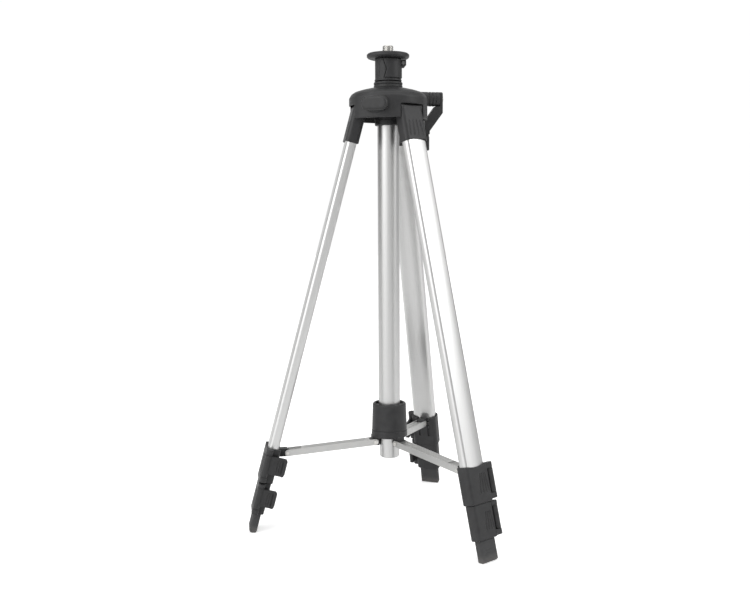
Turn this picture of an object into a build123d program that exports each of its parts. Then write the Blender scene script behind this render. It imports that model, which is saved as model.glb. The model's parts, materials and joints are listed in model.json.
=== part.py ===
from build123d import *
import os
from math import sin, cos, tan, radians, pi, hypot, atan2, degrees

# Surveying tripod for a laser level, +Z up, millimetres. The heights below are above a level 4.1 mm
# under the ground; each part is written with the origin on the column axis at the platform's top.
# Legs stand at azimuths -30, 90 and 210 degrees.

# ---- driving dimensions ----
LEGS = {"right": -30.0, "rear": 90.0, "left": 210.0}
LEAN = 15.0                 # leg angle from vertical when spread
PIV_R, PIV_Z = 42.54, 612.0  # leg hinge
GROUND = 4.1

TUBE_D, TUBE_W, TUBE_C = 16.0, 36.4, 5.0     # outer leg section, radial x tangential, corner
MID_D, MID_W, MID_C = 12.4, 32.2, 3.4
LOW_D, LOW_W, LOW_C = 9.2, 28.8, 2.3
WALL = 1.4
WALL_IN = 1.1

GUIDE_R, GUIDE_IN = 15.75, 14.5
GUIDE_Z0, GUIDE_Z1 = 123.0, 611.9
COL_R, COL_IN = 12.5, 10.7
COL_Z0, COL_Z1 = 140.0, 672.0

CROWN_R = 56.0
CROWN_Z0, CROWN_LIP, CROWN_TOP = 598.0, 617.5, 643.5
COVER_T = 2.6
SLOT_HALF = 20.4

HUB_PIN_R, HUB_PIN_Z = 22.1, 128.5
LUG_PIN_R, LUG_PIN_Z = 152.5, 118.5
STRUT_W, STRUT_H, STRUT_T = 16.0, 9.0, 1.5

MODULE, TEETH = 0.8, 15
PITCH_R = MODULE * TEETH / 2
RACK_PITCH_LINE = 13.3
CRANK_Y = RACK_PITCH_LINE + PITCH_R + 0.06   # spindle offset from the column axis
CRANK_Z = 630.8
CRANK_AZ = 30.0

STUD_R, STUD_Z0, STUD_Z1 = 7.9375, 680.0, 702.2   # 5/8 inch stud
SHANK_R = 7.0
DISC_R, DISC_Z0, DISC_Z1 = 30.3, 683.8, 690.4
PAD_Z1 = 691.2
KNOB_Z = 616.5

os.makedirs("parts", exist_ok=True)
TILT = Pos(PIV_R, 0, PIV_Z) * Rot(0, -LEAN, 0)   # leg axes: x outward, y sideways, z up the leg


def box(x0, x1, y0, y1, z0, z1):
    return Pos((x0 + x1) / 2, (y0 + y1) / 2, (z0 + z1) / 2) * Box(x1 - x0, y1 - y0, z1 - z0)


def zcyl(r, z0, z1, x=0, y=0):
    return Pos(x, y, (z0 + z1) / 2) * Cylinder(r, z1 - z0)


def xcyl(r, x0, x1, y, z):
    return Pos((x0 + x1) / 2, y, z) * Rot(0, 90, 0) * Cylinder(r, x1 - x0)


def ycyl(r, y0, y1, x, z):
    return Pos(x, (y0 + y1) / 2, z) * Rot(90, 0, 0) * Cylinder(r, y1 - y0)


def prism(dx, dy, c, z0, z1):
    return Pos(0, 0, z0) * extrude(RectangleRounded(dx, dy, c), z1 - z0)


def spin(points):
    # points are (radius, z) of a closed outline
    return revolve(make_face(Polyline(*[(r, 0, z) for r, z in points], close=True)), Axis.Z)


def turned(az, shape):
    return Rot(0, 0, az) * shape


def save(name, shape):
    shape = Pos(0, 0, -PAD_Z1) * shape
    solids = list(shape.solids())
    out = solids[0] if len(solids) == 1 else Compound(children=solids)
    out.label = name
    export_step(out, "parts/" + name + ".step")


# ================= crown =================
dome = [(13.1, CROWN_TOP), (21.5, CROWN_TOP), (30, 641.6), (40, 639.2), (48, 636.6), (53, 633.2), (CROWN_R, 628.0)]
inner_r = CROWN_R - COVER_T
cover = spin(dome + [(CROWN_R, CROWN_Z0 + 1), (CROWN_R - 1, CROWN_Z0), (inner_r, CROWN_Z0), (inner_r, 627.0), (51, 631.0),
                     (47, 633.8), (39.5, 636.4), (29.5, 638.8), (21.5, 640.7), (13.1, 640.7)])
core_r = inner_r - 0.1
core = spin([(13.1, 640.6), (21.5, 640.6), (29.5, 638.7), (39.5, 636.3), (47, 633.7), (50.9, 631.0), (core_r, 626.9), (core_r, 607.5), (19.8, 607.5), (19.8, 598.5), (13.1, 598.5)])
core -= zcyl(GUIDE_R + 0.03, 598, 612)

key = turned(120, box(10, 14.5, -2.9, 2.9, 597, 660))
core -= key
cover -= key
for az in LEGS.values():
    core -= turned(az, box(26.5, 60, -SLOT_HALF, SLOT_HALF, 590, 622.5))
    cover -= turned(az, box(26.5, 60, -SLOT_HALF, SLOT_HALF, 590, CROWN_LIP))
    core -= turned(az, ycyl(2.52, -27, 27, PIV_R, PIV_Z))
for az in (-90, 30, 150):   # weight-saving pockets under each bay
    core -= turned(az, box(31, 49, -10, 10, 598, 611.5))
# gear chamber, open at the top, and the spindle bore
core -= turned(CRANK_AZ, box(-4.6, 4.6, 11, CRANK_Y + 7.3, 621.9, 645))
core -= turned(CRANK_AZ, xcyl(3.58, -10, 60, CRANK_Y, CRANK_Z))
core -= turned(CRANK_AZ, xcyl(10.45, 40, 60, CRANK_Y, CRANK_Z))
cover -= turned(CRANK_AZ, xcyl(10.45, 40, 60, CRANK_Y, CRANK_Z))
# column lock screw bore
core -= turned(-90, xcyl(3.05, 10, 60, 0, KNOB_Z))
cover -= turned(-90, xcyl(6.5, 50, 60, 0, KNOB_Z))
# raised frame on the front bay round the knob
frame_ring = turned(-90, xcyl(9.6, 55.0, 57.6, 0, KNOB_Z)) - turned(-90, xcyl(6.5, 50, 60, 0, KNOB_Z)) - zcyl(CROWN_R - 0.3, 590, 640)
cover += frame_ring
# shallow vertical panel grooves on the bays
for az in (-90, 150):
    for a in (-27, 27):
        cover -= turned(az + a, box(55.3, 57, -0.6, 0.6, 601, 627))
save("crown_cover", cover)
save("crown_core", core)

ring = spin([(13.15, 643.55), (20.6, 643.55), (20.6, 646.6), (19.9, 647.0), (19.9, 647.8), (20.6, 648.2), (20.6, 650.4), (19.6, 651.4), (13.15, 651.4)])
ring -= key
save("column_friction_ring", ring)

collar = spin([(GUIDE_R + 0.03, 590.2), (18.3, 590.2), (19.3, 591.2), (19.3, 598.4), (GUIDE_R + 0.03, 598.4)])
save("guide_tube_collar", collar)
save("guide_tube", zcyl(GUIDE_R, GUIDE_Z0, GUIDE_Z1) - zcyl(GUIDE_IN, GUIDE_Z0 - 1, GUIDE_Z1 + 1))
plug = spin([(10.5, 104.5), (13.2, 104.5), (14.7, 106.2), (14.7, 122.9), (14.4, 122.9), (14.4, 134), (12.8, 134), (12.8, 116), (10.5, 116)])
save("guide_tube_end_plug", plug)

pins = [turned(az, ycyl(2.5, -26.5, 26.5, PIV_R, PIV_Z)) for az in LEGS.values()]
save("leg_hinge_pins", Compound(children=pins))

# ================= elevator column =================
rack_az = CRANK_AZ + 90
column = zcyl(COL_R, COL_Z0, COL_Z1) - zcyl(COL_IN, COL_Z0 - 1, COL_Z1 + 1)
column -= turned(rack_az, box(11.6, 14, -2.55, 2.55, 364.5, 642.5))
save("column_tube", column)

pitch = pi * MODULE
tan20 = tan(radians(20))
half_p = (pitch / 2 - 0.30) / 2
tip_x, root_x = RACK_PITCH_LINE + MODULE, RACK_PITCH_LINE - 1.0
outline = [(11.62, 0, 365.0), (root_x, 0, 365.0)]
k0 = -int((CRANK_Z - 368) / pitch)
k = k0
while True:
    zc = CRANK_Z + (k + 0.5) * pitch
    if zc + 1.2 > 641.5:
        break
    outline += [(root_x, 0, zc - half_p - 1.0 * tan20), (tip_x, 0, zc - half_p + MODULE * tan20),
                (tip_x, 0, zc + half_p - MODULE * tan20), (root_x, 0, zc + half_p + 1.0 * tan20)]
    k += 1
outline += [(root_x, 0, 642.0), (11.62, 0, 642.0)]
rack = extrude(make_face(Polyline(*outline, close=True)), 2.5, both=True)
save("column_rack", turned(rack_az, rack))
save("column_end_bush", spin([(COL_R, 140), (14.35, 140), (14.35, 151), (13.6, 152.5), (COL_R, 152.5)]))

neck = zcyl(18.6, 652.2, 683.7) - zcyl(COL_R + 0.02, 650, COL_Z1 + 0.2) - zcyl(SHANK_R + 0.02, 679.9, 690)
neck += spin([(18.5, 652.2), (19.4, 652.8), (19.4, 654.6), (18.5, 655.4)])
for a in (0, 120, 240):
    neck -= turned(a + 10, zcyl(1.62, 677, 690, 13.3, 0))
for a in (-112, -132, -152, 172, 152):
    neck -= turned(a, box(18.1, 20, -0.7, 0.7, 657, 681))


def tangent_panel(points, x, half):
    # outline given as (sideways, z) on a plane touching the neck at azimuth -80
    return turned(-80, extrude(make_face(Polyline(*[(x, y, z) for y, z in points], close=True)), half, both=True))


neck -= tangent_panel([(-4.8, 683.9), (1.0, 668), (-3.2, 655), (-1.9, 655), (2.3, 668), (-3.5, 683.9)], 18.7, 1.1)   # shadow gap beside the band
save("column_neck", neck)

# wrap-round clamp half with its screw ear
band = zcyl(20.1, 656.4, 682.6) - zcyl(18.62, 650, 690)
band &= turned(-33, Pos(0, 0, 669) * extrude(make_face(Polyline((0, 0), (33, -64), (60, -58), (60, 58), close=True)), 20, both=True))
band -= tangent_panel([(-30, 690), (-5.6, 690), (2.0, 668), (-2.5, 654), (-30, 650)], 20, 9)
ear = turned(16, box(18.9, 25.8, -3.6, 3.6, 671.4, 682.4))
ear -= turned(16, Pos(25.8, 0, 671.0) * Rot(0, 40, 0) * Box(6, 12, 6))
ear -= turned(16, ycyl(1.7, -9, 9, 22.2, 677.6))
ear -= zcyl(18.62, 650, 690)
band += ear
save("neck_clamp_band", band)
nscrew = ycyl(1.65, -5.2, 3.6, 22.2, 677.6) + ycyl(2.3, -5.6, -3.65, 22.2, 677.6)
nscrew -= Pos(22.2, -5.6, 677.6) * Box(0.8, 1.6, 3.6)


disc = spin([(SHANK_R + 0.02, DISC_Z0), (26.0, DISC_Z0), (DISC_R - 1.6, DISC_Z0 + 0.9), (DISC_R - 0.5, DISC_Z0 + 2.2), (DISC_R, DISC_Z0 + 2.6),
             (DISC_R, DISC_Z1 - 0.9), (DISC_R - 0.9, DISC_Z1), (SHANK_R + 0.02, DISC_Z1)])
for a in (0, 120, 240):
    disc -= turned(a + 10, zcyl(1.72, 680, 692, 13.3, 0))
    disc -= turned(a + 10, zcyl(3.0, DISC_Z1 - 2.0, 692, 13.3, 0))
save("platform_disc", disc)
screws = []
for a in (0, 120, 240):
    s = zcyl(1.6, 677.4, DISC_Z1 - 1.0, 13.3, 0) + zcyl(2.9, DISC_Z1 - 1.95, DISC_Z1 - 0.1, 13.3, 0)
    s -= Pos(13.3, 0, DISC_Z1 - 0.3) * Box(3.6, 0.8, 1.4)
    screws.append(turned(a + 10, s))
screws.append(turned(16, nscrew))
save("head_screws", Compound(children=screws))
pad = spin([(10.0, DISC_Z1 + 0.02), (28.6, DISC_Z1 + 0.02), (28.6, PAD_Z1 - 0.2), (28.4, PAD_Z1), (10.0, PAD_Z1)])
save("platform_pad", pad)
save("mount_stud", spin([(0, STUD_Z0), (SHANK_R, STUD_Z0), (SHANK_R, DISC_Z1 + 0.05), (STUD_R, DISC_Z1 + 0.05), (STUD_R, STUD_Z1 - 1.2), (STUD_R - 1.2, STUD_Z1), (0, STUD_Z1)]))

# ================= column lock =================
shoe = turned(-90, xcyl(2.95, 12.62, 15.2, 0, KNOB_Z)) - zcyl(COL_R + 0.06, 600, 630)
save("lock_pressure_shoe", shoe)
save("lock_screw", turned(-90, xcyl(2.95, 15.3, 63.0, 0, KNOB_Z)))
kn = Pos(57.9, 3.0, KNOB_Z) * Rot(0, 90, 0) * extrude(SlotOverall(39, 20, rotation=90), 9.6)
kn = fillet(kn.edges().filter_by(lambda e: e.center().X > 67.3), 4.2)
kn = fillet(kn.edges().filter_by(lambda e: e.center().X < 58.0), 0.8)
kn -= xcyl(2.97, 50, 63.2, 0, KNOB_Z)
save("column_lock_knob", turned(-90, kn))

# ================= crank =================
def crank(shape):
    return turned(CRANK_AZ, shape)


tooth_t = pitch / 2 - 0.22
teeth = []
r_tip, r_root = PITCH_R + MODULE, PITCH_R - 1.0
for i in range(TEETH):
    a0 = pi + 2 * pi * i / TEETH
    prof = [(r_root, -0.66), (PITCH_R - 0.35, -0.58), (PITCH_R, -tooth_t / 2), (r_tip - 0.3, -0.30), (r_tip, -0.20),
            (r_tip, 0.20), (r_tip - 0.3, 0.30), (PITCH_R, tooth_t / 2), (PITCH_R - 0.35, 0.58), (r_root, 0.66)]
    for r, h in prof:
        x, y = r * cos(a0) - h * sin(a0), r * sin(a0) + h * cos(a0)
        teeth.append((0, x, y))
pinion = extrude(make_face(Polyline(*teeth, close=True)), 4.0, both=True)
pinion = Pos(0, CRANK_Y, CRANK_Z) * pinion
pinion -= xcyl(3.5, -10, 10, CRANK_Y, CRANK_Z)
save("crank_pinion", crank(pinion))
boss = xcyl(10.4, 40.1, 78.6, CRANK_Y, CRANK_Z) - xcyl(3.58, 40, 80, CRANK_Y, CRANK_Z)
for x in (62.0, 67.0, 72.0):
    boss -= xcyl(12, x, x + 1.3, CRANK_Y, CRANK_Z) - xcyl(9.6, x - 1, x + 3, CRANK_Y, CRANK_Z)
save("crank_boss", crank(boss))

# dog-leg arm: down from the spindle, then jogged back towards the legs
side = [(79.0, 641.2), (83.3, 641.2), (83.3, 610.8), (63.9, 584.6), (63.9, 580.0), (56.5, 580.0), (56.5, 598.6), (72.0, 620.0), (79.0, 620.0)]
arm = Pos(0, CRANK_Y, 0) * extrude(make_face(Polyline(*[(x, 0, z) for x, z in side], close=True)), 7.0, both=True)
arm &= (xcyl(10.4, 70, 85, CRANK_Y, CRANK_Z) + box(50, 85, CRANK_Y - 7, CRANK_Y + 7, 570, CRANK_Z))
arm = arm - box(50, 70, CRANK_Y - 3.6, CRANK_Y + 3.6, 570, 590.5)
arm -= xcyl(3.52, 70, 90, CRANK_Y, CRANK_Z)
GRIP_X, GRIP_Z = 60.2, 584.2
arm += ycyl(3.6, CRANK_Y - 7, CRANK_Y - 3.6, GRIP_X, GRIP_Z) + ycyl(3.6, CRANK_Y + 3.6, CRANK_Y + 7, GRIP_X, GRIP_Z)
arm -= ycyl(1.56, CRANK_Y - 9, CRANK_Y + 9, GRIP_X, GRIP_Z)
save("crank_arm", crank(arm))
cap = xcyl(5.2, 83.4, 84.4, CRANK_Y, CRANK_Z)
cap = fillet(cap.edges().filter_by(lambda e: e.center().X > 84), 0.6)
save("crank_spindle", crank(xcyl(3.5, -9.0, 83.5, CRANK_Y, CRANK_Z) + cap))
grip = Pos(GRIP_X, CRANK_Y, 556.6) * extrude(RectangleRounded(7.0, 13.0, 3.0), 20.6)
grip = fillet(grip.edges().group_by(Axis.Z)[0] + grip.edges().group_by(Axis.Z)[-1], 1.6)
grip += ycyl(3.5, CRANK_Y - 3.4, CRANK_Y + 3.4, GRIP_X, GRIP_Z) + box(GRIP_X - 3.0, GRIP_X + 3.0, CRANK_Y - 3.4, CRANK_Y + 3.4, 576.4, GRIP_Z)
grip += ycyl(1.5, CRANK_Y - 6.9, CRANK_Y + 6.9, GRIP_X, GRIP_Z)   # moulded trunnions
save("crank_grip", crank(grip))

# ================= spreader hub =================
hub = spin([(GUIDE_R + 0.1, 136.4), (26.3, 136.4), (26.6, 137.4), (26.2, 145.4), (25.2, 145.8), (25.2, 147.0), (25.9, 147.4), (24.6, 184.6),
            (23.4, 186.0), (21.4, 186.0), (20.4, 184.6), (20.4, 152), (GUIDE_R + 0.1, 152)])
for az in LEGS.values():
    lug = box(16.4, 27.0, -6, 6, 122.9, 138)
    lug -= Pos(27.0, 0, 122.9) * Rot(0, 45, 0) * Box(4.5, 14, 4.5)
    lug -= zcyl(GUIDE_R + 0.1, 100, 150)
    hub += turned(az, lug)
for az in LEGS.values():
    hub -= turned(az, ycyl(2.02, -8, 8, HUB_PIN_R, HUB_PIN_Z))
for i in range(24):   # grip flutes
    hub -= turned(15 * i, Pos(26.75, 0, 166) * Rot(0, -2.0, 0) * Cylinder(1.3, 30))
save("spreader_hub", hub)
bush = spin([(GUIDE_R + 0.06, 152.1), (20.3, 152.1), (20.3, 182.4), (19.3, 183.2), (GUIDE_R + 0.06, 183.2)])
for a in range(0, 360, 60):
    bush -= turned(a, box(14, 22, -1.4, 1.4, 174, 184))
save("spreader_bush", bush)
hub_pins = []
for az in LEGS.values():
    p = ycyl(2.0, -9.3, 9.3, HUB_PIN_R, HUB_PIN_Z) + ycyl(3.1, 8.15, 9.3, HUB_PIN_R, HUB_PIN_Z) + ycyl(3.1, -9.3, -8.15, HUB_PIN_R, HUB_PIN_Z)
    hub_pins.append(turned(az, p))
save("spreader_pins", Compound(children=hub_pins))

# ================= struts =================
S = hypot(LUG_PIN_R - HUB_PIN_R, HUB_PIN_Z - LUG_PIN_Z)
droop = degrees(atan2(HUB_PIN_Z - LUG_PIN_Z, LUG_PIN_R - HUB_PIN_R))
h = STRUT_H / 2
rail = extrude(make_face(Polyline((0, 0, -h), (S + 0.6, 0, -h), (S + 3.2, 0, -h + 2.6), (S + 3.2, 0, h - 2.6), (S + 0.6, 0, h), (0, 0, h), close=True)), STRUT_W / 2, both=True)
rail += ycyl(h, -STRUT_W / 2, STRUT_W / 2, 0, 0)
inner = STRUT_W / 2 - STRUT_T
rail -= box(-10, S + 10, -inner, inner, -10, h - STRUT_T)
rail -= box(-10, 8.2, -inner, inner, -10, 10)
rail -= box(S - 21.0, S + 10, -inner, inner, -10, 10)
for y in (-3.2, 3.2):
    rail -= box(14, S - 25, y - 0.7, y + 0.7, h - 0.5, 10)
rail -= ycyl(2.05, -20, 20, 0, 0)
rail -= ycyl(1.5, -20, 20, S, 0)
rivets = []
for s in (-1, 1):
    a, b = sorted((s * (inner + 0.05), s * (STRUT_W / 2 + 0.9)))
    c, d = sorted((s * (STRUT_W / 2 + 0.02), s * (STRUT_W / 2 + 0.9)))
    rivets.append(ycyl(1.48, a, b, S, 0) + ycyl(2.5, c, d, S, 0))
STRUT_PLACE = Pos(HUB_PIN_R, 0, HUB_PIN_Z) * Rot(0, droop, 0)

# ================= legs =================
for leg, az in LEGS.items():
    def place(shape):
        return turned(az, TILT * shape)

    save("strut_" + leg, turned(az, STRUT_PLACE * rail))
    save("strut_rivets_" + leg, turned(az, STRUT_PLACE * Compound(children=[Pos(0, 0, 0) * r for r in rivets])))

    # shoulder socket
    sock = prism(19.4, 39.2, 6.0, -49.0, 2.0)
    sock = fillet(sock.edges().group_by(Axis.Z)[-1], 1.5)
    sock += ycyl(9.0, -19.2, 19.2, 0, 0)
    sock -= prism(TUBE_D + 0.1, TUBE_W + 0.1, TUBE_C, -60, -21.5)
    sock -= Pos(0, 0, -49 - 118.0) * Rot(0, 90, 0) * Cylinder(120, 60)
    for t, a in ((-10.5, -4), (-3.5, -1.5), (3.5, 1.5), (10.5, 4)):
        sock -= Pos(10.2, t, -31) * Rot(a, 0, 0) * Cylinder(1.2, 22)
    sock -= ycyl(2.56, -30, 30, 0, 0)
    save("leg_socket_" + leg, place(sock))

    tube = prism(TUBE_D, TUBE_W, TUBE_C, -525, -22) - prism(TUBE_D - 2 * WALL, TUBE_W - 2 * WALL, TUBE_C - WALL, -530, -20)
    save("leg_tube_upper_" + leg, place(tube))
    tube = prism(MID_D, MID_W, MID_C, -578, -112) - prism(MID_D - 2 * WALL_IN, MID_W - 2 * WALL_IN, MID_C - WALL_IN, -580, -110)
    save("leg_tube_middle_" + leg, place(tube))
    tube = prism(LOW_D, LOW_W, LOW_C, -612, -142) - prism(LOW_D - 2 * WALL_IN, LOW_W - 2 * WALL_IN, LOW_C - WALL_IN, -620, -140)
    save("leg_tube_lower_" + leg, place(tube))

    # upper clamp housing
    def clamp(dn, dt, z1, z0, px, py, ear_top, ear_bot):
        b = prism(dn, dt, 5.5, z0, z1)
        b = fillet(b.edges().group_by(Axis.Z)[0], 1.2)
        for (a, c) in (ear_top, ear_bot):
            e = Pos(0, 0, a) * extrude(Pos(px, py) * Circle(4.9), c - a) + box(px - 4.9, px + 4.9, dt / 2 - 3, py, a, c)
            b += e
        return b

    lock = clamp(21.2, 41.2, -500.4, -551.8, 5.6, 25.8, (-508.4, -500.4), (-549.2, -541.6))
    lock -= prism(TUBE_D + 0.1, TUBE_W + 0.1, TUBE_C, -525.2, -480)
    lock -= prism(MID_D + 0.16, MID_W + 0.16, MID_C, -560, -520)
    # scalloped mouth
    lock -= Pos(0, 0, -500.4 + 57.8) * Rot(0, 90, 0) * Cylinder(60.0, 60)
    # fan of grip grooves on the outer face
    for t, a in ((0.5, -8), (4.8, -3), (9.0, 2.5), (13.0, 8)):
        lock -= Pos(10.9, t, -525.5) * Rot(a, 0, 0) * Box(2.4, 1.7, 27)
    # lug for the strut
    lug = box(LUG_PIN_R - 3.4, 172, -6, 6, LUG_PIN_Z - 5.2, LUG_PIN_Z + 6.4)
    lug -= Pos(LUG_PIN_R - 3.4, 0, LUG_PIN_Z - 5.2) * Rot(0, 45, 0) * Box(5, 14, 5)
    lug -= Pos(LUG_PIN_R - 3.4, 0, LUG_PIN_Z + 6.4) * Rot(0, 60, 0) * Box(5, 14, 5)
    lug = TILT.inverse() * lug
    lug -= prism(TUBE_D + 0.1, TUBE_W + 0.1, TUBE_C, -530, -480)
    lock += lug
    for s in (-1, 1):   # relief for the strut cheeks
        lock -= box(-12, -8.45, s * 7.6 - 1.6, s * 7.6 + 1.6, -535, -490)
    lock -= Pos(5.6, 25.8, -524) * Cylinder(1.56, 70)
    save("clamp_upper_" + leg, place(lock))

    lock = clamp(18.0, 37.4, -552.3, -599.4, 4.8, 23.6, (-558.4, -552.3), (-598.0, -590.2))
    lock -= prism(MID_D + 0.1, MID_W + 0.1, MID_C, -578.2, -550)
    lock -= prism(LOW_D + 0.16, LOW_W + 0.16, LOW_C, -605, -570)
    for t, a in ((0.5, -7), (4.4, -2.5), (8.2, 2), (11.8, 7)):
        lock -= Pos(9.3, t, -575.5) * Rot(a, 0, 0) * Box(2.4, 1.5, 25)
    lock -= Pos(4.8, 23.6, -575) * Cylinder(1.56, 70)
    save("clamp_lower_" + leg, place(lock))

    # flip levers, each on a pin along the leg
    def lever(px, py, z0, z1, b0, b1, reach, barrel):
        flat = Pos(px, py) * Circle(barrel)
        flat += Pos((px - reach) / 2, py + 0.2) * Rectangle(px + reach, 4.2)
        flat += Pos(-reach, py + 0.2) * Circle(2.1)
        flat += Pos(-reach + 1.2, py + 1.7) * Circle(2.3)
        v = Pos(0, 0, b0) * extrude(flat, b1 - b0) + zcyl(barrel, z0, z1, px, py)
        # rounded free corners
        for zc, sz in ((b0, 1), (b1, -1)):
            corner = box(-reach - 6, -reach + 3.5, py - 10, py + 10, min(zc - 1 * sz, zc + 5 * sz), max(zc - 1 * sz, zc + 5 * sz))
            corner -= Pos(-reach + 3.5, py, zc + 5 * sz) * Rot(90, 0, 0) * Cylinder(5.6, 30)
            v -= corner
        for n in (-reach + 4, -reach + 7.5, -reach + 11):
            v -= box(n - 0.6, n + 0.6, py + 1.5, py + 6, b0 + 4, b1 - 4)
        v += Pos(px, py, 0) * zcyl(1.5, z0 - 5.0, z1 + 5.0)   # moulded trunnions
        return v

    save("lever_upper_" + leg, place(lever(5.6, 25.8, -541.3, -508.7, -536.0, -509.4, 20.8, 4.9)))
    save("lever_lower_" + leg, place(lever(4.8, 23.6, -589.9, -558.7, -585.2, -559.4, 18.0, 4.6)))

    # rubber foot
    body = prism(11.5, 30.4, 3.6, -640, -599.9)
    foot = body & prism(11.5, 30.4, 3.6, -624.4, -599.9)
    foot += Pos(0, 0, -624.4) * Rot(90, 0, 0) * Cylinder(5.75, 30.4) & body
    foot &= Rot(0, 90, 0) * extrude(Pos(600.0, 0) * RectangleRounded(60.4, 30.4, 5.0), 20, both=True)
    foot -= prism(LOW_D + 0.04, LOW_W + 0.04, LOW_C, -612.1, -590)
    for z in (-617.5, -613.0):
        foot -= box(5.2, 7, -9, 9, z - 0.6, z + 0.6)
    foot = TILT * foot
    foot -= box(100, 300, -50, 50, -20, GROUND)
    save("foot_" + leg, turned(az, foot))
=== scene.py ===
import bpy, bmesh, json, math
from mathutils import Matrix, Vector, Euler
from math import sin, cos, pi, radians


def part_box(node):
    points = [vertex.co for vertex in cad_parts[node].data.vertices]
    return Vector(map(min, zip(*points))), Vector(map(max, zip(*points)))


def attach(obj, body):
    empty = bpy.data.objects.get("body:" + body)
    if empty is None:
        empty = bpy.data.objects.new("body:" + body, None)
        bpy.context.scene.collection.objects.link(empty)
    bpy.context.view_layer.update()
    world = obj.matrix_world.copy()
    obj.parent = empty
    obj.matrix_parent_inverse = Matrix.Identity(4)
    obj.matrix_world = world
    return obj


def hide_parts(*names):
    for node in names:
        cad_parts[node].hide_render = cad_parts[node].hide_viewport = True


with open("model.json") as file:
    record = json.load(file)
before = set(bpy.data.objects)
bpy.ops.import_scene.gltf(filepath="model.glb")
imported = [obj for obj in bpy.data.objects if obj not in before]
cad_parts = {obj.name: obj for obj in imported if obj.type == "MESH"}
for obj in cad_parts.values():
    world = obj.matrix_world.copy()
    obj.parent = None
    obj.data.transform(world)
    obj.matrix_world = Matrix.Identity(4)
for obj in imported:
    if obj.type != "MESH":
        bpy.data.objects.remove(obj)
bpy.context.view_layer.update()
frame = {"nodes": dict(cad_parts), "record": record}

NODES, REC = frame["nodes"], frame["record"]
NODE_BODY = {n: b for b, ns in REC["behaviour"]["bodies"].items() for n in ns}
SLOT = {s["node"]: s["material_slot"] for s in REC["subparts"]}
LEGS = {"right": -30.0, "rear": 90.0, "left": 210.0}
GROUND = min(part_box("foot_" + l)[0].z for l in LEGS)
DATUM = -0.6912          # camera and lamp heights are measured from here
LEAN = radians(15.0)
MM = 0.001

# ------------------------------------------------------------------ materials
class Mat:
    def __init__(self, name):
        self.m = bpy.data.materials.new(name)
        self.m.use_nodes = True
        self.nt = self.m.node_tree
        self.bsdf = self.nt.nodes["Principled BSDF"]

    def node(self, kind, **inputs):
        n = self.nt.nodes.new(kind)
        for k, v in inputs.items():
            if k.startswith("_"):
                setattr(n, k[1:], v)
            else:
                n.inputs[k.replace("__", " ")].default_value = v
        return n

    def link(self, a, b):
        self.nt.links.new(a, b)

    def math(self, op, a, b=None, clamp=False):
        n = self.nt.nodes.new("ShaderNodeMath"); n.operation = op; n.use_clamp = clamp
        for i, v in enumerate((a, b)):
            if v is None: continue
            if isinstance(v, (int, float)): n.inputs[i].default_value = v
            else: self.link(v, n.inputs[i])
        return n.outputs[0]

    def ramp(self, fac, stops):
        n = self.nt.nodes.new("ShaderNodeValToRGB")
        el = n.color_ramp.elements
        while len(el) < len(stops): el.new(0.5)
        for e, (p, c) in zip(el, stops):
            e.position = p; e.color = (*c, 1) if len(c) == 3 else c
        self.link(fac, n.inputs[0])
        return n.outputs[0]

    def mix(self, fac, a, b):
        n = self.nt.nodes.new("ShaderNodeMix"); n.data_type = "RGBA"
        if isinstance(fac, (int, float)): n.inputs[0].default_value = fac
        else: self.link(fac, n.inputs[0])
        for i, v in ((6, a), (7, b)):
            if isinstance(v, tuple): n.inputs[i].default_value = (*v, 1)
            else: self.link(v, n.inputs[i])
        return n.outputs[2]

    def coords(self, matrix=None, scale=(1, 1, 1)):
        tc = self.node("ShaderNodeTexCoord")
        out = tc.outputs["Object"]
        if matrix is not None:
            mp = self.node("ShaderNodeMapping")
            mp.inputs["Rotation"].default_value = matrix.to_euler("XYZ")
            self.link(out, mp.inputs["Vector"]); out = mp.outputs[0]
        mp = self.node("ShaderNodeMapping"); mp.inputs["Scale"].default_value = scale
        self.link(out, mp.inputs["Vector"])
        return mp.outputs[0]

    def noise(self, vec, scale, detail=2.0, rough=0.5):
        n = self.node("ShaderNodeTexNoise", Scale=scale, Detail=detail, Roughness=rough)
        self.link(vec, n.inputs["Vector"])
        return n.outputs["Fac"]

    def edge(self, radius, lo=0.02, hi=0.25):
        """1 along convex and concave edges, 0 on open faces."""
        bv = self.node("ShaderNodeBevel", Radius=radius); bv.samples = 6
        geo = self.node("ShaderNodeNewGeometry")
        d = self.node("ShaderNodeVectorMath", _operation="DOT_PRODUCT")
        self.link(bv.outputs[0], d.inputs[0]); self.link(geo.outputs["Normal"], d.inputs[1])
        e = self.math("SUBTRACT", 1.0, d.outputs["Value"])
        mr = self.node("ShaderNodeMapRange"); mr.inputs[1].default_value = lo; mr.inputs[2].default_value = hi
        self.link(e, mr.inputs[0])
        return mr.outputs[0]


def leg_matrix(az):
    return (Matrix.Rotation(LEAN, 3, "Y") @ Matrix.Rotation(-radians(az), 3, "Z"))


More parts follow.
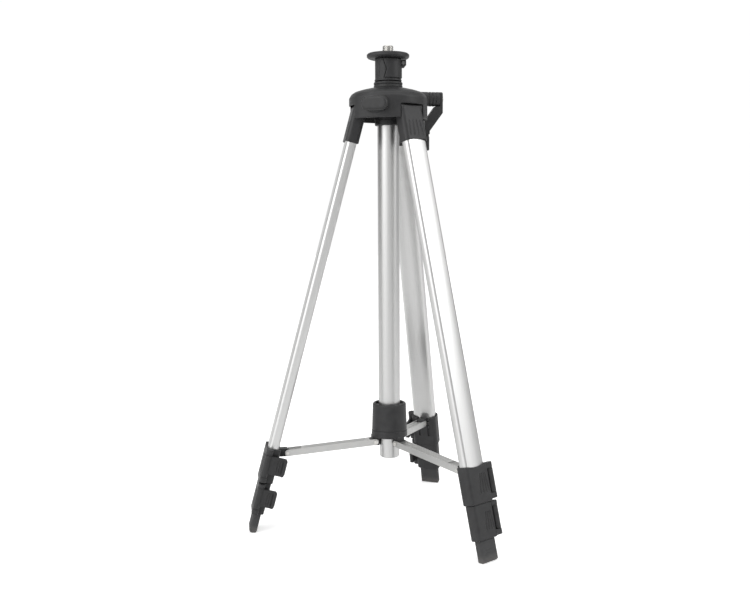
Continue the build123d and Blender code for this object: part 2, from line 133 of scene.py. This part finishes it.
def plastic(name, base, rough=0.46, grain=0.35, wear_and_edge_highlight=0.35, dust=0.25):
    """Black moulded plastic: spark-eroded grain, faint mottling, slightly polished edges, and patches along the edges
    painted lighter, partly as scuff wear and partly as a painted edge highlight.
    """
    M = Mat(name); v = M.coords()
    grain_n = M.noise(v, 2600, 1.5, 0.6)
    mott = M.noise(v, 90, 4, 0.6)
    blot = M.noise(v, 17, 3, 0.5)
    b = tuple(base)
    lighter = tuple(min(1, c * 1.75 + 0.012) for c in b)
    darker = tuple(c * 0.72 for c in b)
    col = M.mix(M.math("MULTIPLY", mott, 1.0), darker, lighter)
    # edge patches painted lighter: partly scuff wear, partly a painted highlight along convex and concave edges
    scuff_and_highlight_noise = M.noise(v, 420, 5, 0.75)
    scuff_and_edge_highlight = M.math("MULTIPLY", M.edge(0.9 * MM), M.math("GREATER_THAN", scuff_and_highlight_noise, 0.50))
    col = M.mix(M.math("MULTIPLY", scuff_and_edge_highlight, wear_and_edge_highlight), col, tuple(min(1, c * 4.0 + 0.045) for c in b))
    specks = M.math("MULTIPLY", M.math("GREATER_THAN", M.noise(v, 1500, 2, 0.5), 0.735), dust)
    col = M.mix(specks, col, (0.16, 0.16, 0.155))
    M.link(col, M.bsdf.inputs["Base Color"])
    r = M.math("ADD", M.math("MULTIPLY", mott, 0.10), rough - 0.08)
    r = M.math("ADD", r, M.math("MULTIPLY", blot, 0.09))
    r = M.math("SUBTRACT", r, M.math("MULTIPLY", scuff_and_edge_highlight, 0.10))
    M.link(r, M.bsdf.inputs["Roughness"])
    M.bsdf.inputs["Specular IOR Level"].default_value = 0.42
    bump = M.node("ShaderNodeBump", Strength=grain, Distance=0.00008)
    M.link(grain_n, bump.inputs["Height"])
    bump2 = M.node("ShaderNodeBump", Strength=0.18, Distance=0.0005)
    M.link(mott, bump2.inputs["Height"]); M.link(bump.outputs[0], bump2.inputs["Normal"])
    M.link(bump2.outputs[0], M.bsdf.inputs["Normal"])
    return M.m


def aluminium(name, matrix, base=(0.83, 0.83, 0.83), rough=0.30, metallic=1.0):
    """Anodised drawn tube: satin, with fine draw lines along the length and faint handling marks."""
    M = Mat(name)
    along = M.coords(matrix, (1500, 1500, 9))
    streak = M.noise(along, 1.0, 3, 0.6)
    broad = M.noise(M.coords(matrix, (140, 140, 3)), 1.0, 2, 0.5)
    v = M.coords()
    marks = M.noise(v, 60, 5, 0.7)
    col = M.mix(streak, tuple(c * 0.90 for c in base), tuple(min(1, c * 1.07) for c in base))
    col = M.mix(M.math("MULTIPLY", broad, 0.28), col, tuple(c * 0.88 for c in base))
    nick_n = M.noise(M.coords(matrix, (900, 900, 60)), 1.0, 2, 0.5)
    nick = M.math("MULTIPLY", M.math("GREATER_THAN", nick_n, 0.77), 0.30)
    col = M.mix(nick, col, (0.50, 0.50, 0.50))
    M.link(col, M.bsdf.inputs["Base Color"])
    M.bsdf.inputs["Metallic"].default_value = metallic
    r = M.math("ADD", M.math("MULTIPLY", streak, 0.12), rough - 0.06)
    r = M.math("ADD", r, M.math("MULTIPLY", marks, 0.07))
    M.link(r, M.bsdf.inputs["Roughness"])
    bump = M.node("ShaderNodeBump", Strength=0.22, Distance=0.00005)
    M.link(streak, bump.inputs["Height"]); M.link(bump.outputs[0], M.bsdf.inputs["Normal"])
    return M.m


def steel(name, base=(0.72, 0.72, 0.71), rough=0.24, tint=(0.60, 0.58, 0.54)):
    M = Mat(name); v = M.coords()
    n = M.noise(v, 380, 4, 0.6); f = M.noise(v, 3500, 1, 0.5)
    col = M.mix(n, tuple(base), tuple(tint))
    # painted highlight: every edge is lightened towards pale steel
    col = M.mix(M.math("MULTIPLY", M.edge(0.4 * MM), 0.5), col, (0.88, 0.88, 0.87))
    M.link(col, M.bsdf.inputs["Base Color"]); M.bsdf.inputs["Metallic"].default_value = 1.0
    M.link(M.math("ADD", M.math("MULTIPLY", n, 0.16), rough - 0.05), M.bsdf.inputs["Roughness"])
    bump = M.node("ShaderNodeBump", Strength=0.15, Distance=0.00004)
    M.link(f, bump.inputs["Height"]); M.link(bump.outputs[0], M.bsdf.inputs["Normal"])
    return M.m


def rubber(name, base=(0.030, 0.030, 0.031)):
    M = Mat(name); v = M.coords()
    n = M.noise(v, 240, 6, 0.7); f = M.noise(v, 1800, 2, 0.6)
    tc = M.node("ShaderNodeTexCoord"); sx = M.node("ShaderNodeSeparateXYZ"); M.link(tc.outputs["Object"], sx.inputs[0])
    low = M.node("ShaderNodeMapRange"); low.inputs[1].default_value = GROUND + 0.012; low.inputs[2].default_value = GROUND
    M.link(sx.outputs["Z"], low.inputs[0])
    col = M.mix(n, tuple(c * 0.8 for c in base), tuple(c * 1.7 + 0.006 for c in base))
    dusty = M.math("MULTIPLY", M.math("MULTIPLY", low.outputs[0], n), 0.75)
    col = M.mix(dusty, col, (0.20, 0.19, 0.175))
    M.link(col, M.bsdf.inputs["Base Color"])
    M.link(M.math("ADD", M.math("MULTIPLY", n, 0.2), 0.62), M.bsdf.inputs["Roughness"])
    bump = M.node("ShaderNodeBump", Strength=0.4, Distance=0.0001)
    M.link(f, bump.inputs["Height"]); M.link(bump.outputs[0], M.bsdf.inputs["Normal"])
    return M.m


MATS = {
    "body_plastic": plastic("body_plastic", (0.0125, 0.0125, 0.0132)),
    "lever_plastic": plastic("lever_plastic", (0.0110, 0.0110, 0.0116), rough=0.40),
    "knob_plastic": plastic("knob_plastic", (0.0115, 0.0115, 0.012), rough=0.44, grain=0.5),
    "bush_plastic": plastic("bush_plastic", (0.028, 0.028, 0.030), rough=0.38, grain=0.15, wear_and_edge_highlight=0.15),
    "bright_steel": steel("bright_steel"),
    "rack_steel": steel("rack_steel", (0.13, 0.13, 0.13), 0.35, (0.08, 0.08, 0.078)),
    "foot_rubber": rubber("foot_rubber"),
    "pad_rubber": rubber("pad_rubber", (0.036, 0.036, 0.038)),
}
ALU = {"column": aluminium("anodised_column", None, (0.64, 0.64, 0.635), 0.33)}
STRUT = {}
for leg, az in LEGS.items():
    ALU[leg] = aluminium("anodised_" + leg, leg_matrix(az), (0.68, 0.68, 0.675), 0.27)
    # struts run outwards, so their drawn lines follow the leg's azimuth
    m = Matrix.Rotation(radians(90), 3, "Y") @ Matrix.Rotation(-radians(az), 3, "Z")
    STRUT[leg] = aluminium("strut_" + leg, m, (0.58, 0.58, 0.57), 0.36)


def material_for(node):
    s = SLOT[node]
    leg = next((l for l in LEGS if node.endswith("_" + l)), None)
    if s == "anodised_aluminium": return ALU[leg or "column"]
    if s == "strut_aluminium": return STRUT[leg]
    return MATS[s]


def set_mat(o, m):
    o.data.materials.clear(); o.data.materials.append(m)

# ------------------------------------------------------------------ mesh helpers
def new_object(name, mesh):
    o = bpy.data.objects.new(name, mesh)
    bpy.context.scene.collection.objects.link(o)
    return o


def copy_of(node, name):
    o = new_object(name, NODES[node].data.copy())
    bm = bmesh.new(); bm.from_mesh(o.data)
    bmesh.ops.remove_doubles(bm, verts=bm.verts, dist=2e-6)
    bmesh.ops.recalc_face_normals(bm, faces=bm.faces)
    bm.to_mesh(o.data); bm.free()
    for a in list(o.data.attributes):
        if a.name in ("custom_normal",): o.data.attributes.remove(a)
    return o


def bake(o):
    dg = bpy.context.evaluated_depsgraph_get(); dg.update()
    mesh = bpy.data.meshes.new_from_object(o.evaluated_get(dg))
    o.modifiers.clear(); o.data = mesh
    return o


def smooth(o, angle=None):
    o.data.shade_smooth()
    if angle is not None: o.data.set_sharp_from_angle(angle=radians(angle))


def finish_piece(o, node, mat=None):
    set_mat(o, mat or material_for(node))
    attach(o, NODE_BODY[node]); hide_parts(node)
    return o


def soften(node, voxel, rounds=4, name=None):
    """A moulded copy of a CAD node: the same shape with every edge rounded."""
    o = copy_of(node, (name or node) + "_moulded")
    r = o.modifiers.new("remesh", "REMESH"); r.mode = "VOXEL"; r.voxel_size = voxel; r.adaptivity = 0.0
    s = o.modifiers.new("smooth", "SMOOTH"); s.iterations = rounds; s.factor = 0.5
    bake(o); smooth(o)
    return finish_piece(o, node)


# ------------------------------------------------------------------ pieces
VOX = 1.0
soften("crown_cover", 0.76 * MM * VOX, 3)
soften("column_neck", 0.40 * MM * VOX, 2)
soften("neck_clamp_band", 0.32 * MM * VOX, 2)
soften("column_friction_ring", 0.35 * MM * VOX, 2)
soften("guide_tube_collar", 0.5 * MM * VOX, 2)
soften("column_lock_knob", 0.40 * MM * VOX, 5)
soften("crank_boss", 0.40 * MM * VOX, 2)
soften("crank_arm", 0.40 * MM * VOX, 5)
soften("crank_grip", 0.35 * MM * VOX, 4)
soften("spreader_hub", 0.45 * MM * VOX, 3)
for leg in LEGS:
    soften("leg_socket_" + leg, 0.55 * MM * VOX, 4)
    soften("clamp_upper_" + leg, 0.50 * MM * VOX, 3)
    soften("clamp_lower_" + leg, 0.50 * MM * VOX, 3)
    soften("lever_upper_" + leg, 0.42 * MM * VOX, 4)
    soften("lever_lower_" + leg, 0.42 * MM * VOX, 4)
    soften("foot_" + leg, 0.50 * MM * VOX, 5)


def threaded_stud():
    lo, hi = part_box("mount_stud")
    R, z0, z1, p = hi.x, lo.z, hi.z, 25.4 / 11 * MM
    depth = 0.42 * p
    n, rows = 96, 150
    bm = bmesh.new(); rings = []
    base = 0.0004 - 0.0008
    for j in range(rows + 1):
        z = z0 + (z1 - z0) * j / rows
        ring = []
        for i in range(n):
            a = 2 * pi * i / n
            ph = (z / p - i / n) % 1.0
            tri = abs(ph - 0.5) * 2            # 0 at the crest, 1 at the root
            cut = min(1.0, max(0.0, (tri - 0.22) / 0.66))
            r = R - depth * cut
            if z < base: r = 0.007
            top = z1 - z
            r = min(r, R - 0.0013 + top * 1.05)
            ring.append(bm.verts.new((r * cos(a), r * sin(a), z)))
        rings.append(ring)
    for a, b in zip(rings, rings[1:]):
        for i in range(n):
            bm.faces.new((a[i], a[(i + 1) % n], b[(i + 1) % n], b[i]))
    bm.faces.new(rings[-1]); bm.faces.new(list(reversed(rings[0])))
    me = bpy.data.meshes.new("stud"); bm.to_mesh(me); bm.free()
    o = new_object("threaded_stud", me)
    smooth(o, 50)
    finish_piece(o, "mount_stud")


threaded_stud()


def crowned_tube(leg, az):
    """The outer leg section with its broad faces very slightly crowned, as drawn tube is."""
    def section(hx, hy, c, sag):
        pts = []
        for k in range(24):                       # broad faces, from corner to corner
            t = -1 + 2 * k / 23
            pts.append((hx - sag * t * t, t * (hy - c)))
        for k in range(1, 10):                    # corner
            a = radians(10 * k)
            pts.append((hx - sag - c + c * cos(a), hy - c + c * sin(a)))
        return pts + [(-x, y) for x, y in reversed(pts[24:])] + [(-x, y) for x, y in reversed(pts[:24])] \
            + [(-x, -y) for x, y in pts[24:]] + [(x, -y) for x, y in reversed(pts[24:])]
    outer = section(7.98, 18.18, 5.0, 0.75)
    inner = section(6.55, 16.78, 3.6, 0.60)
    steps = [-525.0 + (525.0 - 22.0) * i / 60 for i in range(61)]
    spin = Matrix.Rotation(radians(az), 3, "Z")
    L = LEAN
    def put(x, y, z):
        return spin @ Vector((42.54 + x * cos(L) - z * sin(L), y, 612.0 - 691.2 + x * sin(L) + z * cos(L))) * MM
    bm = bmesh.new()
    loops = [[[bm.verts.new(put(x, y, z)) for x, y in sec] for z in steps] for sec in (outer, inner)]
    n = len(outer)
    for w, rings in enumerate(loops):
        for a, b in zip(rings, rings[1:]):
            for i in range(n):
                f = (a[i], a[(i + 1) % n], b[(i + 1) % n], b[i])
                bm.faces.new(f if w == 0 else tuple(reversed(f)))
    for j, flip in ((0, True), (-1, False)):
        a, b = loops[0][j], loops[1][j]
        for i in range(n):
            f = (a[i], a[(i + 1) % n], b[(i + 1) % n], b[i])
            bm.faces.new(tuple(reversed(f)) if flip else f)
    bmesh.ops.recalc_face_normals(bm, faces=bm.faces)
    me = bpy.data.meshes.new("tube"); bm.to_mesh(me); bm.free()
    o = new_object("leg_tube_upper_" + leg + "_crowned", me)
    smooth(o, 35)
    finish_piece(o, "leg_tube_upper_" + leg)


for leg, az in LEGS.items():
    crowned_tube(leg, az)

# every CAD node that stays visible gets its material
for n, o in NODES.items():
    set_mat(o, material_for(n))

# ------------------------------------------------------------------ stage, light, camera
def plane(name, size, z):
    bm = bmesh.new(); bmesh.ops.create_grid(bm, x_segments=2, y_segments=2, size=size)
    me = bpy.data.meshes.new(name); bm.to_mesh(me); bm.free()
    o = new_object(name, me); o.location.z = z
    return o


floor = plane("floor", 6.0, GROUND - 0.0002)
FM = Mat("floor_paper"); fv = FM.coords()
FM.link(FM.mix(FM.noise(fv, 8, 3), (0.93, 0.93, 0.93), (0.955, 0.955, 0.955)), FM.bsdf.inputs["Base Color"])
FM.bsdf.inputs["Roughness"].default_value = 0.9
FM.bsdf.inputs["Specular IOR Level"].default_value = 0.1
# a lit floor, like the sweep of a studio table: brighter to the lens than to the object
FM.bsdf.inputs["Emission Color"].default_value = (1, 1, 1, 1)
flp = FM.node("ShaderNodeLightPath")
FM.link(FM.math("MULTIPLY", flp.outputs["Is Camera Ray"], 0.42), FM.bsdf.inputs["Emission Strength"])
set_mat(floor, FM.m)

AZ = radians(20.07)
def cam_space(right, toward, up):
    """A point from the tripod's axis: to the picture's right, towards the camera, above the datum."""
    r = Vector((cos(AZ), sin(AZ), 0)); t = Vector((sin(AZ), -cos(AZ), 0))
    return r * right + t * toward + Vector((0, 0, DATUM + up))


def area(name, loc, target, size, size_y, power):
    l = bpy.data.lights.new(name, "AREA"); l.shape = "RECTANGLE"; l.size = size; l.size_y = size_y; l.energy = power
    o = bpy.data.objects.new(name, l); bpy.context.scene.collection.objects.link(o)
    o.location = loc; o.rotation_euler = (target - loc).to_track_quat("-Z", "Y").to_euler()
    return o


# studio: white behind, a broad soft source at front left, a high one at right, greyer room between
world = bpy.data.worlds.new("studio"); bpy.context.scene.world = world
world.use_nodes = True
wt = world.node_tree; wt.nodes.clear()


def wmath(op, a, b=None, clamp=False):
    n = wt.nodes.new("ShaderNodeMath"); n.operation = op; n.use_clamp = clamp
    for i, v in enumerate((a, b)):
        if v is None: continue
        if isinstance(v, (int, float)): n.inputs[i].default_value = v
        else: wt.links.new(v, n.inputs[i])
    return n.outputs[0]


wdir = wt.nodes.new("ShaderNodeTexCoord").outputs["Generated"]


def patch(azimuth, elevation, inner, outer, level):
    """A soft-edged source seen azimuth degrees to the camera's right and elevation up; inner and outer are its half-angles."""
    az, el = radians(azimuth), radians(elevation)
    toward, right = Vector((sin(AZ), -cos(AZ), 0)), Vector((cos(AZ), sin(AZ), 0))
    d = (toward * cos(az) + right * sin(az)) * cos(el) + Vector((0, 0, sin(el)))
    n = wt.nodes.new("ShaderNodeVectorMath"); n.operation = "DOT_PRODUCT"
    wt.links.new(wdir, n.inputs[0]); n.inputs[1].default_value = d
    m = wt.nodes.new("ShaderNodeMapRange"); m.interpolation_type = "SMOOTHSTEP"
    m.inputs[1].default_value = cos(radians(outer)); m.inputs[2].default_value = cos(radians(inner))
    m.inputs[4].default_value = level
    wt.links.new(n.outputs["Value"], m.inputs[0])
    return m.outputs[0]


level = wmath("ADD", 0.24, patch(180, 0, 24, 66, 0.62))
for p in ((-55, 12, 22, 60, 1.35), (72, 28, 10, 34, 1.50), (0, 80, 20, 60, 0.50), (14, 5, 6, 28, 0.45)):
    level = wmath("ADD", level, patch(*p))
wlp = wt.nodes.new("ShaderNodeLightPath")
cam_ray = wlp.outputs["Is Camera Ray"]
level = wmath("ADD", wmath("MULTIPLY", level, wmath("SUBTRACT", 1.0, cam_ray)), wmath("MULTIPLY", cam_ray, 1.02))
bg = wt.nodes.new("ShaderNodeBackground"); out = wt.nodes.new("ShaderNodeOutputWorld")
wt.links.new(level, bg.inputs[1]); bg.inputs[0].default_value = (1, 1, 1, 1)
wt.links.new(bg.outputs[0], out.inputs[0])

mid = cam_space(0, 0, 0.38)
area("key_left", cam_space(-1.3, 1.2, 1.5), mid, 1.0, 1.4, 7)
area("fill_right", cam_space(1.7, 0.5, 1.3), mid, 0.7, 0.9, 4)
area("top", cam_space(0, 0.1, 2.2), mid, 1.6, 1.6, 6)

cam = bpy.data.cameras.new("camera"); co = bpy.data.objects.new("camera", cam)
bpy.context.scene.collection.objects.link(co); bpy.context.scene.camera = co
cam.sensor_width = 36.0; cam.lens = 913.77 * 36 / 750
cam.shift_x = -(388.97 - 375) / 750; cam.shift_y = (304.77 - 305) / 750
co.location = cam_space(0, 1.33227, 0.48592)
pitch, roll = radians(6.594), radians(-0.219)
fwd = (-Vector((sin(AZ), -cos(AZ), 0)) * cos(pitch) + Vector((0, 0, -1)) * sin(pitch)).normalized()
q = fwd.to_track_quat("-Z", "Y")
co.rotation_mode = "QUATERNION"
co.rotation_quaternion = q @ Euler((0, 0, roll)).to_quaternion()
cam.clip_start = 0.01; cam.clip_end = 50

vs = bpy.context.scene.view_settings
vs.view_transform = "Standard"; vs.look = "None"; vs.exposure = 0.0; vs.gamma = 1.0

bpy.context.view_layer.update()
